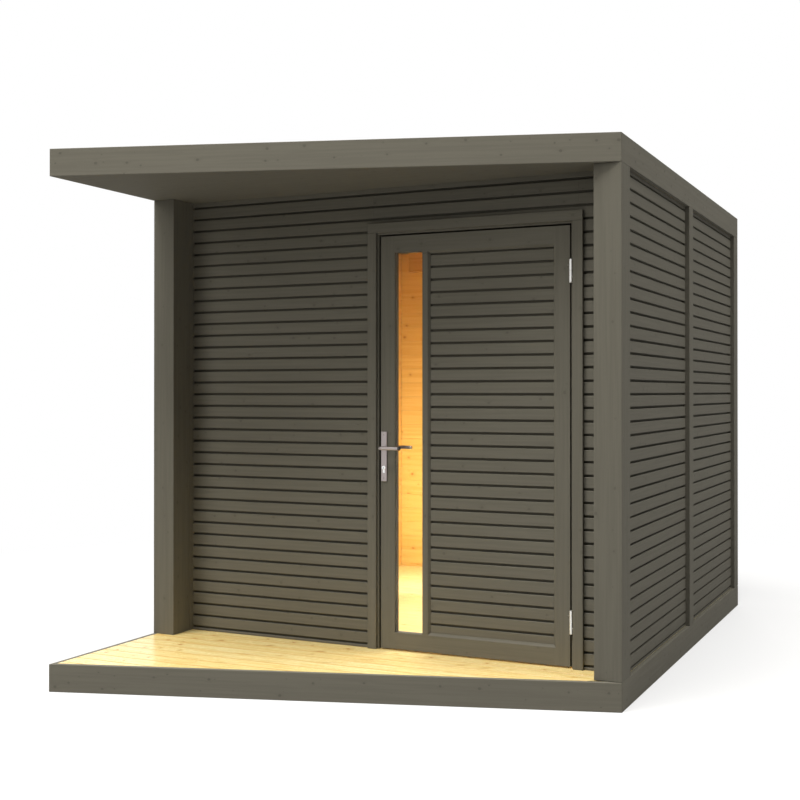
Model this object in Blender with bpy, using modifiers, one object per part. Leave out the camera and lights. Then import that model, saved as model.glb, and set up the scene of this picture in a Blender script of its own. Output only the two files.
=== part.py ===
"""A flat-roofed timber garden shed with a skewed canopy over a triangular terrace.

Metres, +Z up. The origin is on the ground under the middle of the whole outline,
+X is the shed's right side and -Y its front. The corner posts, walls, base and
roof edge follow one rectangle. Only the front edge of the roof and of the terrace
runs at a slant, from the right corner post out to the left.
"""
import math

import bmesh
import bpy
from mathutils import Matrix, Vector

# Whole shed
WIDTH = 2.375
DEPTH = 2.750            # from the corner posts' front faces to the rear
CANOPY = 0.750           # how far the roof and terrace reach forward on the left
HEIGHT = 2.400
GAP = 0.0003             # between pieces that touch

# Edge boards of the base and of the roof
BASE_HEIGHT = 0.122
FASCIA_HEIGHT = 0.122
EDGE_BOARD = 0.022

# Corner posts and mullions
POST_WIDTH = 0.120
FRONT_POST_SIDE = 0.1375
REAR_POST_SIDE = 0.121
MULLION_WIDTH = 0.094
SIDE_MULLION_FROM_FRONT = 1.3295

# Walls: cladding, studs and lining together
FRONT_RECESS = 0.164     # the front cladding behind the posts' front faces
SIDE_RECESS = 0.022
WALL = POST_WIDTH - SIDE_RECESS

# Floor
DECK_BOARD = 0.022
JOIST_WIDTH = 0.045
JOIST_BAYS = 7

# Roof
SOFFIT = 0.012
ROOF_BOARD = 0.018
ROOF_SHEET = 0.003
ROOF_SHEET_BELOW_EDGE = 0.008
RAFTER_WIDTH = 0.045
RAFTER_BAYS = 7
BEARER_DEPTH = 0.145      # the bearer under the rafters on the rear wall
BEARER_THICKNESS = 0.058
BEARER_FROM_SIDE = 0.200

# Doorway and its frame
BESIDE_DOOR = 0.114      # cladding between the frame and the right post
OVER_DOOR = 0.188        # cladding between the frame and the soffit
LEAF_WIDTH = 0.9177
LEAF_LIFT = 0.006        # the leaf's lower edge above the floor
LEAF_CLEAR = 0.0087      # between the leaf and the frame, at the sides and the top
LEAF_THICKNESS = 0.044
FRAME_THICKNESS = 0.030
JAMB_PROUD = 0.004       # the jamb's front edge in front of the cladding
CASING_WIDTH = 0.045
CASING_PROUD = 0.019     # the casing in front of the cladding
CASING_STEP = 0.009      # the jamb's edge that shows between casing and leaf
CASING_ROUND = 0.0015
STOP_WIDTH = 0.010
STOP_CLEAR = 0.006

# Leaf
STILE_LEFT = 0.0715
STILE_RIGHT = 0.0765
RAIL_TOP = 0.088         # to the slatted panel; to the glass it is less by the bevel
RAIL_BOTTOM = 0.088
BEVEL = 0.011            # width of the sloping edge round the slatted panel
GLASS_WIDTH = 0.140      # between the stile and the bar
GLASS_BAR = 0.0375       # the bar between the glass and the slatted panel
GLASS_SET_BACK = 0.008
GLASS_THICKNESS = 0.014
GLASS_REBATE = 0.008     # how far the pane reaches behind the wood all round
PANEL_SET_BACK = 0.012
PANEL_THICKNESS = 0.020

# Hinges
HINGE_FROM_TOP = 0.1480
HINGE_FROM_BOTTOM = 0.1440
HINGE_LENGTH = 0.1045
BARREL_RADIUS = 0.0080
BARREL_CLEAR = 0.0050     # between the barrel and the leaf's face
HINGE_SPLIT = 0.0004      # between the two halves of a barrel
PIN_RADIUS = 0.0040
PIN_LENGTH = 0.034
STUD_RADIUS = 0.0035
STUD_LENGTH = 0.036

# Handle
PLATE_ABOVE_EDGE = 0.8945  # the plate's middle above the leaf's lower edge
PLATE_FROM_EDGE = 0.0181   # and from its free edge
PLATE_LENGTH = 0.232
PLATE_WIDTH = 0.028
INSIDE_PLATE_WIDTH = 0.022  # narrower, to pass the stop
PLATE_THICKNESS = 0.008
PLATE_ROUND = 0.001
LEVER_ABOVE_MIDDLE = 0.0395
LEVER_RADIUS = 0.0085
NECK_RADIUS = 0.0075
LEVER_OUT = 0.047          # the grip's axis from the neck's root
LEVER_OFF = 0.0005         # the neck's root from the plate
LEVER_LENGTH = 0.107
INSIDE_LEVER_LENGTH = 0.097
SPINDLE_RADIUS = 0.0040
SPINDLE_CLEAR = 0.0005
CYLINDER_BELOW_MIDDLE = 0.0520
CYLINDER_RADIUS = 0.0095
CYLINDER_PROUD = 0.004

# Positions that follow from the sizes
X_LEFT, X_RIGHT = -WIDTH / 2, WIDTH / 2
Y_TIP = -(DEPTH + CANOPY) / 2
Y_FRONT = Y_TIP + CANOPY
Y_REAR = Y_FRONT + DEPTH
Y_WALL = Y_FRONT + FRONT_RECESS
Y_WALL_BACK = Y_WALL + WALL
Z_SOFFIT = HEIGHT - FASCIA_HEIGHT
Z_STAND = (BASE_HEIGHT + GAP, Z_SOFFIT - GAP)
BAY_LEFT = X_LEFT + POST_WIDTH + GAP
BAY_RIGHT = X_RIGHT - POST_WIDTH - GAP
DOOR_RIGHT = BAY_RIGHT - BESIDE_DOOR
DOOR_TOP = Z_STAND[1] - OVER_DOOR
OPENING_RIGHT = DOOR_RIGHT - GAP - FRAME_THICKNESS
OPENING_TOP = DOOR_TOP - GAP - FRAME_THICKNESS
LEAF_RIGHT = OPENING_RIGHT - LEAF_CLEAR
LEAF_LEFT = LEAF_RIGHT - LEAF_WIDTH
LEAF_TOP = OPENING_TOP - LEAF_CLEAR
LEAF_BOTTOM = BASE_HEIGHT + LEAF_LIFT
OPENING_LEFT = LEAF_LEFT - LEAF_CLEAR
DOOR_LEFT = OPENING_LEFT - FRAME_THICKNESS - GAP
HINGE_X = OPENING_RIGHT
HINGE_Y = Y_WALL - BARREL_RADIUS - BARREL_CLEAR
PLATE_X = LEAF_LEFT + PLATE_FROM_EDGE
PLATE_Z = LEAF_BOTTOM + PLATE_ABOVE_EDGE
LEVER_Z = PLATE_Z + LEVER_ABOVE_MIDDLE
CYLINDER_Z = PLATE_Z - CYLINDER_BELOW_MIDDLE

PAINT = (0.158, 0.150, 0.122)
BARE = (0.72, 0.47, 0.19)
FINISHES = {
    "paint": (PAINT, 0.62, 0.0),
    "cladding": ((0.145, 0.138, 0.112), 0.65, 0.0),
    "spruce": (BARE, 0.60, 0.0),
    "deck": ((0.78, 0.60, 0.27), 0.62, 0.0),
    "membrane": ((0.03, 0.03, 0.032), 0.85, 0.0),
    "glass": ((0.86, 0.90, 0.88), 0.05, 0.0),
    "steel": ((0.62, 0.61, 0.58), 0.30, 1.0),
    "plated": ((0.82, 0.82, 0.80), 0.28, 1.0),
}


def collection(name):
    group = bpy.data.collections.new(name)
    bpy.context.scene.collection.children.link(group)
    return group


def material(name, finish):
    colour, roughness, metallic = FINISHES[finish]
    mat = bpy.data.materials.new(name)
    mat.use_nodes = True
    shader = mat.node_tree.nodes["Principled BSDF"]
    shader.inputs["Base Color"].default_value = (*colour, 1.0)
    shader.inputs["Roughness"].default_value = roughness
    shader.inputs["Metallic"].default_value = metallic
    return mat


def add(name, mesh, finish, group=None):
    obj = bpy.data.objects.new(name, mesh)
    (group or SHED).objects.link(obj)
    if finish:
        mesh.materials.clear()
        mesh.materials.append(material(name + "_finish", finish))
    return obj


def block_mesh(name, x, y, z, origin=(0.0, 0.0, 0.0)):
    """A box between pairs of coordinates, seen from an origin."""
    bm = bmesh.new()
    bmesh.ops.create_cube(bm, size=1.0)
    for v in bm.verts:
        v.co = [lo + (hi - lo) * (c + 0.5) - o
                for (lo, hi), c, o in zip((x, y, z), v.co, origin)]
    mesh = bpy.data.meshes.new(name)
    bm.to_mesh(mesh)
    bm.free()
    return mesh


def box(name, x, y, z, finish, rounded=0.0, origin=(0.0, 0.0, 0.0)):
    obj = add(name, block_mesh(name, x, y, z, origin), finish)
    obj.location = origin
    if rounded:
        bevel = obj.modifiers.new("rounded", "BEVEL")
        bevel.width = rounded
        bevel.segments = 1
    return obj


def plate(name, outline, z, finish, group=None):
    """A flat board or sheet from its outline in plan."""
    curve = bpy.data.curves.new(name + "_outline", "CURVE")
    curve.dimensions = "2D"
    curve.fill_mode = "BOTH"
    curve.extrude = (z[1] - z[0]) / 2
    spline = curve.splines.new("POLY")
    spline.points.add(len(outline) - 1)
    for point, (px, py) in zip(spline.points, outline):
        point.co = (px, py, 0.0, 1.0)
    spline.use_cyclic_u = True
    shape = bpy.data.objects.new(name + "_outline", curve)
    bpy.context.scene.collection.objects.link(shape)
    bpy.context.view_layer.update()
    seen = shape.evaluated_get(bpy.context.evaluated_depsgraph_get())
    mesh = bpy.data.meshes.new_from_object(seen)
    mesh.name = name
    bpy.data.objects.remove(shape)
    bpy.data.curves.remove(curve)
    bm = bmesh.new()
    bm.from_mesh(mesh)
    bmesh.ops.remove_doubles(bm, verts=bm.verts, dist=0.00001)
    bmesh.ops.recalc_face_normals(bm, faces=bm.faces)
    for v in bm.verts:
        v.co.z += (z[0] + z[1]) / 2
    bm.to_mesh(mesh)
    bm.free()
    return add(name, mesh, finish, group)


def rod(name, radius, start, end, finish, origin=(0.0, 0.0, 0.0), sides=32, group=None):
    """A round bar between two points."""
    start, end, origin = Vector(start), Vector(end), Vector(origin)
    bm = bmesh.new()
    bmesh.ops.create_cone(bm, cap_ends=True, segments=sides, radius1=radius, radius2=radius,
                          depth=(end - start).length)
    turn = (end - start).to_track_quat("Z", "Y").to_matrix().to_4x4()
    bm.transform(Matrix.Translation((start + end) / 2 - origin) @ turn)
    mesh = bpy.data.meshes.new(name)
    bm.to_mesh(mesh)
    bm.free()
    mesh.shade_smooth()
    mesh.set_sharp_from_angle(angle=math.radians(40))
    obj = add(name, mesh, finish, group)
    obj.location = origin
    return obj


def combine(obj, other, operation):
    """Cuts another shape out of an object, or joins it on."""
    change = obj.modifiers.new(operation.lower(), "BOOLEAN")
    change.operation = operation
    change.solver = "EXACT"
    change.object = other
    for group in list(other.users_collection):
        group.objects.unlink(other)
    CUTTERS.objects.link(other)
    other.hide_render = True
    other.display_type = "WIRE"
    return obj


def inset_outline(distance):
    """The shed's outline in plan, moved inwards: front left, front right, rear right, rear left."""
    slope = CANOPY / WIDTH
    lean = distance * math.hypot(1.0, slope)
    left, right, rear = X_LEFT + distance, X_RIGHT - distance, Y_REAR - distance

    def front(x):
        return Y_FRONT - (X_RIGHT - x) * slope + lean

    return [(left, front(left)), (right, front(right)), (right, rear), (left, rear)]


def edge_board(name, side, z, finish):
    """One board of the ring round the base or the roof, mitred at both ends."""
    outer, inner = inset_outline(0.0), inset_outline(EDGE_BOARD)
    quad = [outer[side], outer[(side + 1) % 4], inner[(side + 1) % 4], inner[side]]
    along = [quad[1][i] - quad[0][i] for i in range(2)]
    length = math.hypot(*along)
    step = [a / length * GAP for a in along]
    quad = [(quad[0][0] + step[0], quad[0][1] + step[1]), (quad[1][0] - step[0], quad[1][1] - step[1]),
            (quad[2][0] - step[0], quad[2][1] - step[1]), (quad[3][0] + step[0], quad[3][1] + step[1])]
    return plate(name, quad, z, finish)


def front_line(x, inset):
    """The slanting front edge, or a line inside it, at one place across the width."""
    a, b = inset_outline(inset)[:2]
    return a[1] + (x - a[0]) / (b[0] - a[0]) * (b[1] - a[1])


def ladder(name, bays, width, z):
    """Joists or rafters with a rim round them, as one frame inside the edge boards."""
    inset = EDGE_BOARD + GAP
    frame = plate(name, inset_outline(inset), z, "spruce")
    pitch = (WIDTH - 2 * inset - width) / bays
    rear = Y_REAR - inset - width
    for i in range(bays):
        left = X_LEFT + inset + width + i * pitch
        right = left + pitch - width
        bay = [(left, front_line(left, inset + width)), (right, front_line(right, inset + width)),
               (right, rear), (left, rear)]
        cut = plate("%s_bay_%d" % (name, i + 1), bay, (z[0] - 0.01, z[1] + 0.01), None, CUTTERS)
        combine(frame, cut, "DIFFERENCE")
    return frame


for old in list(bpy.data.objects):
    bpy.data.objects.remove(old)
SHED = collection("garden_shed")
CUTTERS = collection("cutters")

# Base: four boards on edge, with joists, the terrace and the room's floor inside them
for side, where in enumerate(("front", "right", "rear", "left")):
    edge_board("base_board_" + where, side, (0.0, BASE_HEIGHT), "paint")

FLOOR_UNDER = BASE_HEIGHT - DECK_BOARD
inside = EDGE_BOARD + GAP
ladder("floor_frame", JOIST_BAYS, JOIST_WIDTH, (0.0, FLOOR_UNDER - GAP))

Y_FLOOR_JOINT = Y_WALL + WALL / 2
ring = inset_outline(inside)
plate("terrace_deck", [ring[0], ring[1], (ring[1][0], Y_FLOOR_JOINT - GAP / 2),
                       (ring[0][0], Y_FLOOR_JOINT - GAP / 2)], (FLOOR_UNDER, BASE_HEIGHT), "deck")
box("room_floor", (ring[0][0], ring[1][0]), (Y_FLOOR_JOINT + GAP / 2, ring[2][1]),
    (FLOOR_UNDER, BASE_HEIGHT), "spruce")

# Posts and mullions stand on the base
for where, sign in (("left", -1), ("right", 1)):
    outer = sign * WIDTH / 2
    inner = outer - sign * (POST_WIDTH - GAP)
    x = tuple(sorted((outer, inner)))
    box("front_post_" + where, x, (Y_FRONT, Y_FRONT + FRONT_POST_SIDE), Z_STAND, "paint")
    box("rear_post_" + where, x, (Y_REAR - REAR_POST_SIDE, Y_REAR), Z_STAND, "paint")
    a = Y_FRONT + SIDE_MULLION_FROM_FRONT
    box("mullion_" + where, tuple(sorted((outer, inner))), (a, a + MULLION_WIDTH), Z_STAND, "paint")
box("mullion_rear", (-MULLION_WIDTH / 2, MULLION_WIDTH / 2), (Y_REAR - POST_WIDTH, Y_REAR),
    Z_STAND, "paint")

# Walls between the posts, each a panel of cladding, studs and lining
for where, sign in (("left", -1), ("right", 1)):
    outer = sign * (WIDTH / 2 - SIDE_RECESS)
    x = tuple(sorted((outer, outer - sign * WALL)))
    start = Y_FRONT + SIDE_MULLION_FROM_FRONT
    box("%s_wall_front" % where, x, (Y_FRONT + FRONT_POST_SIDE + GAP, start - GAP), Z_STAND, "cladding")
    box("%s_wall_rear" % where, x, (start + MULLION_WIDTH + GAP, Y_REAR - REAR_POST_SIDE - GAP),
        Z_STAND, "cladding")
    middle = sign * (MULLION_WIDTH / 2 + GAP)
    x = tuple(sorted((middle, sign * (WIDTH / 2 - POST_WIDTH - GAP))))
    y = Y_REAR - SIDE_RECESS
    box("rear_wall_" + where, x, (y - WALL, y), Z_STAND, "cladding")

box("front_wall_left", (BAY_LEFT, DOOR_LEFT), (Y_WALL, Y_WALL_BACK), Z_STAND, "cladding")
box("front_wall_right", (DOOR_RIGHT, BAY_RIGHT), (Y_WALL, Y_WALL_BACK), Z_STAND, "cladding")
box("front_wall_over_door", (DOOR_LEFT + GAP, DOOR_RIGHT - GAP), (Y_WALL, Y_WALL_BACK),
    (DOOR_TOP, Z_STAND[1]), "cladding")

# Roof: fascia boards, soffit under the canopy, rafters, boards and a sheet inside the edge
for side, where in enumerate(("front", "right", "rear", "left")):
    edge_board("fascia_" + where, side, (Z_SOFFIT, HEIGHT), "paint")

ring = inset_outline(inside)
Z_RAFTER = Z_SOFFIT + SOFFIT + GAP
Z_BOARD_TOP = HEIGHT - ROOF_SHEET_BELOW_EDGE - ROOF_SHEET - GAP
Z_BOARD = Z_BOARD_TOP - ROOF_BOARD
plate("soffit", [ring[0], ring[1], (ring[1][0], Y_WALL_BACK), (ring[0][0], Y_WALL_BACK)],
      (Z_SOFFIT, Z_SOFFIT + SOFFIT), "paint")
ladder("roof_frame", RAFTER_BAYS, RAFTER_WIDTH, (Z_RAFTER, Z_BOARD - GAP))
BEARER_Y = Y_REAR - SIDE_RECESS - WALL - GAP
box("rear_bearer", (X_LEFT + BEARER_FROM_SIDE, X_RIGHT - BEARER_FROM_SIDE),
    (BEARER_Y - BEARER_THICKNESS, BEARER_Y), (Z_RAFTER - GAP - BEARER_DEPTH, Z_RAFTER - GAP), "spruce")
plate("roof_boards", ring, (Z_BOARD, Z_BOARD_TOP), "spruce")
plate("roof_sheet", ring, (Z_BOARD_TOP + GAP, Z_BOARD_TOP + GAP + ROOF_SHEET), "membrane")

# Door frame: two jambs and a head, each with a stop behind the leaf and a casing in front
Z_FOOT = BASE_HEIGHT + GAP
Y_CASING = (Y_WALL - CASING_PROUD, Y_WALL - JAMB_PROUD - GAP)
Y_JAMB = (Y_WALL - JAMB_PROUD, Y_WALL_BACK)
Y_STOP = Y_WALL + LEAF_THICKNESS + STOP_CLEAR
for where, face, sign in (("left", OPENING_LEFT, -1), ("right", OPENING_RIGHT, 1)):
    jamb = box("door_jamb_" + where, tuple(sorted((face - sign * STOP_WIDTH, face + sign * FRAME_THICKNESS))),
               Y_JAMB, (Z_FOOT, OPENING_TOP - GAP), "paint")
    cut = block_mesh("rebate", tuple(sorted((face, face - sign * (STOP_WIDTH + 0.01)))),
                     (Y_WALL - 0.05, Y_STOP), (0.0, OPENING_TOP + 0.1))
    combine(jamb, add("door_jamb_%s_rebate" % where, cut, None, CUTTERS), "DIFFERENCE")
    inner = face + sign * CASING_STEP
    box("door_casing_" + where, tuple(sorted((inner, inner + sign * CASING_WIDTH))), Y_CASING,
        (Z_FOOT, OPENING_TOP + CASING_STEP - GAP), "paint", CASING_ROUND)
head = box("door_head", (OPENING_LEFT - FRAME_THICKNESS, OPENING_RIGHT + FRAME_THICKNESS), Y_JAMB,
           (OPENING_TOP, OPENING_TOP + FRAME_THICKNESS), "paint")
stop = block_mesh("head_stop", (OPENING_LEFT + STOP_WIDTH + GAP, OPENING_RIGHT - STOP_WIDTH - GAP),
                  (Y_STOP, Y_WALL_BACK), (OPENING_TOP - STOP_WIDTH, OPENING_TOP + FRAME_THICKNESS / 2))
combine(head, add("door_head_stop", stop, None, CUTTERS), "UNION")
reach = CASING_STEP + CASING_WIDTH
box("door_casing_head", (OPENING_LEFT - reach, OPENING_RIGHT + reach), Y_CASING,
    (OPENING_TOP + CASING_STEP, OPENING_TOP + reach), "paint", CASING_ROUND)

# Door leaf: stiles and rails in one frame round the glass and the slatted panel
HINGE = (HINGE_X, HINGE_Y, BASE_HEIGHT)
Y_LEAF = (Y_WALL, Y_WALL + LEAF_THICKNESS)
GLASS_X = (LEAF_LEFT + STILE_LEFT, LEAF_LEFT + STILE_LEFT + GLASS_WIDTH)
PANEL_X = (GLASS_X[1] + GLASS_BAR, LEAF_RIGHT - STILE_RIGHT)
FIELD_Z = (LEAF_BOTTOM + RAIL_BOTTOM, LEAF_TOP - RAIL_TOP)
GLASS_Z = (FIELD_Z[0] - BEVEL, FIELD_Z[1] + BEVEL)
Y_PANE = (Y_WALL + GLASS_SET_BACK, Y_WALL + GLASS_SET_BACK + GLASS_THICKNESS)


def wider(pair, by):
    return pair[0] - by, pair[1] + by


leaf = box("door_leaf", (LEAF_LEFT, LEAF_RIGHT), Y_LEAF, (LEAF_BOTTOM, LEAF_TOP), "paint", origin=HINGE)
for label, x, y, z in (
        ("glass_sight", GLASS_X, wider(Y_LEAF, 0.05), GLASS_Z),
        ("glass_rebate", wider(GLASS_X, GLASS_REBATE), (Y_PANE[0] - GAP, Y_LEAF[1] + 0.05),
         wider(GLASS_Z, GLASS_REBATE)),
        ("panel_field", PANEL_X, wider(Y_LEAF, 0.05), FIELD_Z)):
    combine(leaf, add(label, block_mesh(label, x, y, z), None, CUTTERS), "DIFFERENCE")

# A sloping edge leads from the leaf's face to the slatted panel all round
slope = block_mesh("panel_bevel", PANEL_X, (Y_LEAF[0] - PANEL_SET_BACK, Y_LEAF[0] + PANEL_SET_BACK), FIELD_Z)
for v in slope.vertices:
    if v.co.y < Y_LEAF[0]:
        v.co.x += math.copysign(2 * BEVEL, v.co.x - sum(PANEL_X) / 2)
        v.co.z += math.copysign(2 * BEVEL, v.co.z - sum(FIELD_Z) / 2)
combine(leaf, add("panel_bevel", slope, None, CUTTERS), "DIFFERENCE")

# The pane lies in its rebate and a bead holds it from inside. The slatted panel fills the rest.
seat = GLASS_REBATE - GAP
box("door_glass", wider(GLASS_X, seat), Y_PANE, wider(GLASS_Z, seat), "glass", origin=HINGE)
bead = box("glazing_bead", wider(GLASS_X, seat), (Y_PANE[1] + GAP, Y_LEAF[1]), wider(GLASS_Z, seat), "paint",
           origin=HINGE)
combine(bead, add("bead_sight", block_mesh("bead_sight", GLASS_X, wider(Y_LEAF, 0.05), GLASS_Z), None,
                  CUTTERS), "DIFFERENCE")
box("door_slat_panel", wider(PANEL_X, -GAP),
    (Y_WALL + PANEL_SET_BACK, Y_WALL + PANEL_SET_BACK + PANEL_THICKNESS), wider(FIELD_Z, -GAP),
    "cladding", origin=HINGE)

# Hinges: a barrel in two halves, the upper screwed into the leaf, the lower into the casing
for label, top in (("upper", LEAF_TOP - HINGE_FROM_TOP),
                   ("lower", LEAF_BOTTOM + HINGE_FROM_BOTTOM + HINGE_LENGTH)):
    middle = top - HINGE_LENGTH / 2
    for half, z, reach, holder in (
            ("leaf", (middle + HINGE_SPLIT / 2, top), Vector((-1, 1, 0)).normalized() * STUD_LENGTH, leaf),
            ("frame", (top - HINGE_LENGTH, middle - HINGE_SPLIT / 2), Vector((1, 0, 0)) * STUD_LENGTH,
             bpy.data.objects["door_casing_right"])):
        name = "hinge_%s_%s_half" % (label, half)
        origin = HINGE if half == "leaf" else (0.0, 0.0, 0.0)
        barrel = rod(name, BARREL_RADIUS, (HINGE_X, HINGE_Y, z[0]), (HINGE_X, HINGE_Y, z[1]), "plated",
                     origin=origin)
        root = Vector((HINGE_X, HINGE_Y, (z[0] + z[1]) / 2))
        combine(barrel, rod(name + "_stud", STUD_RADIUS, root, root + reach, None, sides=16, group=CUTTERS),
                "UNION")
        pin = (HINGE_X, HINGE_Y, middle - 0.005), (HINGE_X, HINGE_Y, middle + PIN_LENGTH)
        if half == "leaf":
            combine(barrel, rod(name + "_bore", PIN_RADIUS + GAP, *pin, None, sides=24, group=CUTTERS),
                    "DIFFERENCE")
        else:
            pin = pin[0], (HINGE_X, HINGE_Y, middle + PIN_LENGTH - GAP)
            combine(barrel, rod(name + "_pin", PIN_RADIUS, *pin, None, sides=24, group=CUTTERS), "UNION")
        combine(holder, rod(name + "_hole", STUD_RADIUS + GAP, root, root + reach * 1.03, None, sides=16,
                            group=CUTTERS), "DIFFERENCE")

# Handle: a long plate on each face, a lever through both, and a lock cylinder under it
spindle = (PLATE_X, Y_LEAF[0] - 0.1, LEVER_Z), (PLATE_X, Y_LEAF[1] + 0.1, LEVER_Z)
barrel = (PLATE_X, Y_LEAF[0] - 0.1, CYLINDER_Z), (PLATE_X, Y_LEAF[1] + 0.1, CYLINDER_Z)
holes = [rod("spindle_hole", SPINDLE_RADIUS + SPINDLE_CLEAR, *spindle, None, sides=24, group=CUTTERS),
         rod("cylinder_hole", CYLINDER_RADIUS + GAP, *barrel, None, sides=32, group=CUTTERS)]
plates = []
for label, width, face, side in (("outside", PLATE_WIDTH, Y_LEAF[0], -1),
                                 ("inside", INSIDE_PLATE_WIDTH, Y_LEAF[1], 1)):
    y = tuple(sorted((face + side * GAP, face + side * PLATE_THICKNESS)))
    plates.append(box("handle_plate_" + label, (PLATE_X - width / 2, PLATE_X + width / 2), y,
                      (PLATE_Z - PLATE_LENGTH / 2, PLATE_Z + PLATE_LENGTH / 2), "steel", PLATE_ROUND,
                      HINGE))
for piece in [leaf] + plates:
    for hole in holes:
        combine(piece, hole, "DIFFERENCE")

Y_OUTER = Y_LEAF[0] - PLATE_THICKNESS - LEVER_OFF
Y_INNER = Y_LEAF[1] + PLATE_THICKNESS + LEVER_OFF
for label, start, side, length in (("outside", Y_OUTER, -1, LEVER_LENGTH),
                                   ("inside", Y_INNER, 1, INSIDE_LEVER_LENGTH)):
    name = "lever_" + label
    grip = start + side * LEVER_OUT
    neck = rod(name, NECK_RADIUS, (PLATE_X, start, LEVER_Z), (PLATE_X, grip, LEVER_Z),
               "steel", origin=(PLATE_X, Y_WALL, LEVER_Z))
    combine(neck, rod(name + "_grip", LEVER_RADIUS, (PLATE_X - LEVER_RADIUS, grip, LEVER_Z),
                      (PLATE_X + length, grip, LEVER_Z), None, group=CUTTERS), "UNION")
    if label == "outside":
        combine(neck, rod("spindle", SPINDLE_RADIUS, (PLATE_X, start - 0.002, LEVER_Z),
                          (PLATE_X, Y_INNER - GAP, LEVER_Z), None, sides=24, group=CUTTERS), "UNION")
rod("lock_cylinder", CYLINDER_RADIUS, (PLATE_X, Y_LEAF[0] - PLATE_THICKNESS - CYLINDER_PROUD, CYLINDER_Z),
    (PLATE_X, Y_LEAF[1] + PLATE_THICKNESS + CYLINDER_PROUD, CYLINDER_Z), "plated", origin=HINGE)
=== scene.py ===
"""Looks of the garden shed: painted and bare spruce, glass, steel and roofing sheet.

Metres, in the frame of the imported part. The sections follow the shed as it is put
together, from the base boards up to the roof sheet.
"""
import math

import bmesh
import bpy
from mathutils import Matrix, Vector


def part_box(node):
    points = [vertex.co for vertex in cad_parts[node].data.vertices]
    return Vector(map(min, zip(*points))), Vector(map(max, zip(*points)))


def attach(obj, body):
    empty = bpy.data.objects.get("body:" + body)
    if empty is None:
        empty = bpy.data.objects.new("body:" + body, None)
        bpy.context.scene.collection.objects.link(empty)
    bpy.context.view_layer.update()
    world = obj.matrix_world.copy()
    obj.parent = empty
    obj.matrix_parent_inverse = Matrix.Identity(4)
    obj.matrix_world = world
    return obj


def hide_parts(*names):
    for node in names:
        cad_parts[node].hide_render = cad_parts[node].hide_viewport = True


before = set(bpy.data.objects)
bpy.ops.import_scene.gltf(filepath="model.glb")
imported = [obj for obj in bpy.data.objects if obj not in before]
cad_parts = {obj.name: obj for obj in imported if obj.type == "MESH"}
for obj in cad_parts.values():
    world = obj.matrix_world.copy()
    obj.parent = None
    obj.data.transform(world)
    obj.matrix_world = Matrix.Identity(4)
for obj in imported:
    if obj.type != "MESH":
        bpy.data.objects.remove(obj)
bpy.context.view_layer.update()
SHED, DOOR, LEVER = "shed", "door", "lever"


# Camera
# At a person's chest height, to the right of the door, with a long lens.
# Its place, turn and focal length are those of the photograph.
IMAGE_SIDE = 800.0
FOCAL_LENGTH_IN_PIXELS = 1189.7
MIDDLE_PIXEL_DOWN = 385.84
SENSOR = 36.0
CAMERA_PLACE = (2.4749, -5.8290, 1.3252)
CAMERA_TURN = math.radians(25.488)
CAMERA_LIFT = math.radians(0.280)


def placed(name, data):
    """A new object in the scene."""
    made = bpy.data.objects.new(name, data)
    bpy.context.scene.collection.objects.link(made)
    return made


camera = placed("camera", bpy.data.cameras.new("camera"))
camera.data.sensor_width = SENSOR
camera.data.lens = FOCAL_LENGTH_IN_PIXELS / IMAGE_SIDE * SENSOR
camera.data.shift_y = (MIDDLE_PIXEL_DOWN - IMAGE_SIDE / 2) / IMAGE_SIDE
camera.location = CAMERA_PLACE
camera.rotation_euler = (math.pi / 2 + CAMERA_LIFT, 0.0, CAMERA_TURN)
bpy.context.scene.camera = camera
bpy.context.scene.view_settings.view_transform = "Standard"


# Studio
# A white floor and backdrop, a large soft box high in front, weaker ones low in
# front, to the sides and the rear, and two lamps in the room.
FLOOR_SIDE = 80.0
FLOOR_DROP = 0.0006
AIM = Vector((0.0, 0.0, 1.1))
AMBIENT = 0.02
FLOOR_TONE = 0.32
FLOOR_LIFT = 0.62
WHITE_FROM, WHITE_AT = 2.6, 5.0     # from here on the floor is as white as the backdrop
LAMP_COLOUR, SUNNY_COLOUR = (1.0, 0.985, 0.96), (1.0, 0.985, 0.95)
SOFT_BOXES = {            # place, side, power and colour of each
    "front_high": ((-1.2, -5.5, 15.0), 8.5, 3450.0, SUNNY_COLOUR),
    "front_low": ((-6.4, -12.6, 7.4), 8.0, 730.0, SUNNY_COLOUR),
    "right": ((9.6, -0.3, 12.6), 7.0, 1120.0, SUNNY_COLOUR),
    "rear": ((-1.0, 12.0, 6.5), 5.0, 560.0, LAMP_COLOUR),
    "left": ((-12.0, 4.0, 5.0), 5.0, 420.0, LAMP_COLOUR),
}
ROOM_LAMP_PLACE = (0.30, 0.10, 2.24)
ROOM_LAMP_SIDE = 1.4
ROOM_LAMP_SPREAD = math.radians(80)
ROOM_LAMP_POWER = 22.5
WASH_PLACE, WASH_AIM = (-0.35, 0.60, 0.80), (-1.02, 1.62, 0.45)
WASH_SIDE, WASH_SPREAD, WASH_POWER = 0.35, math.radians(150), 10.0


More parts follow.
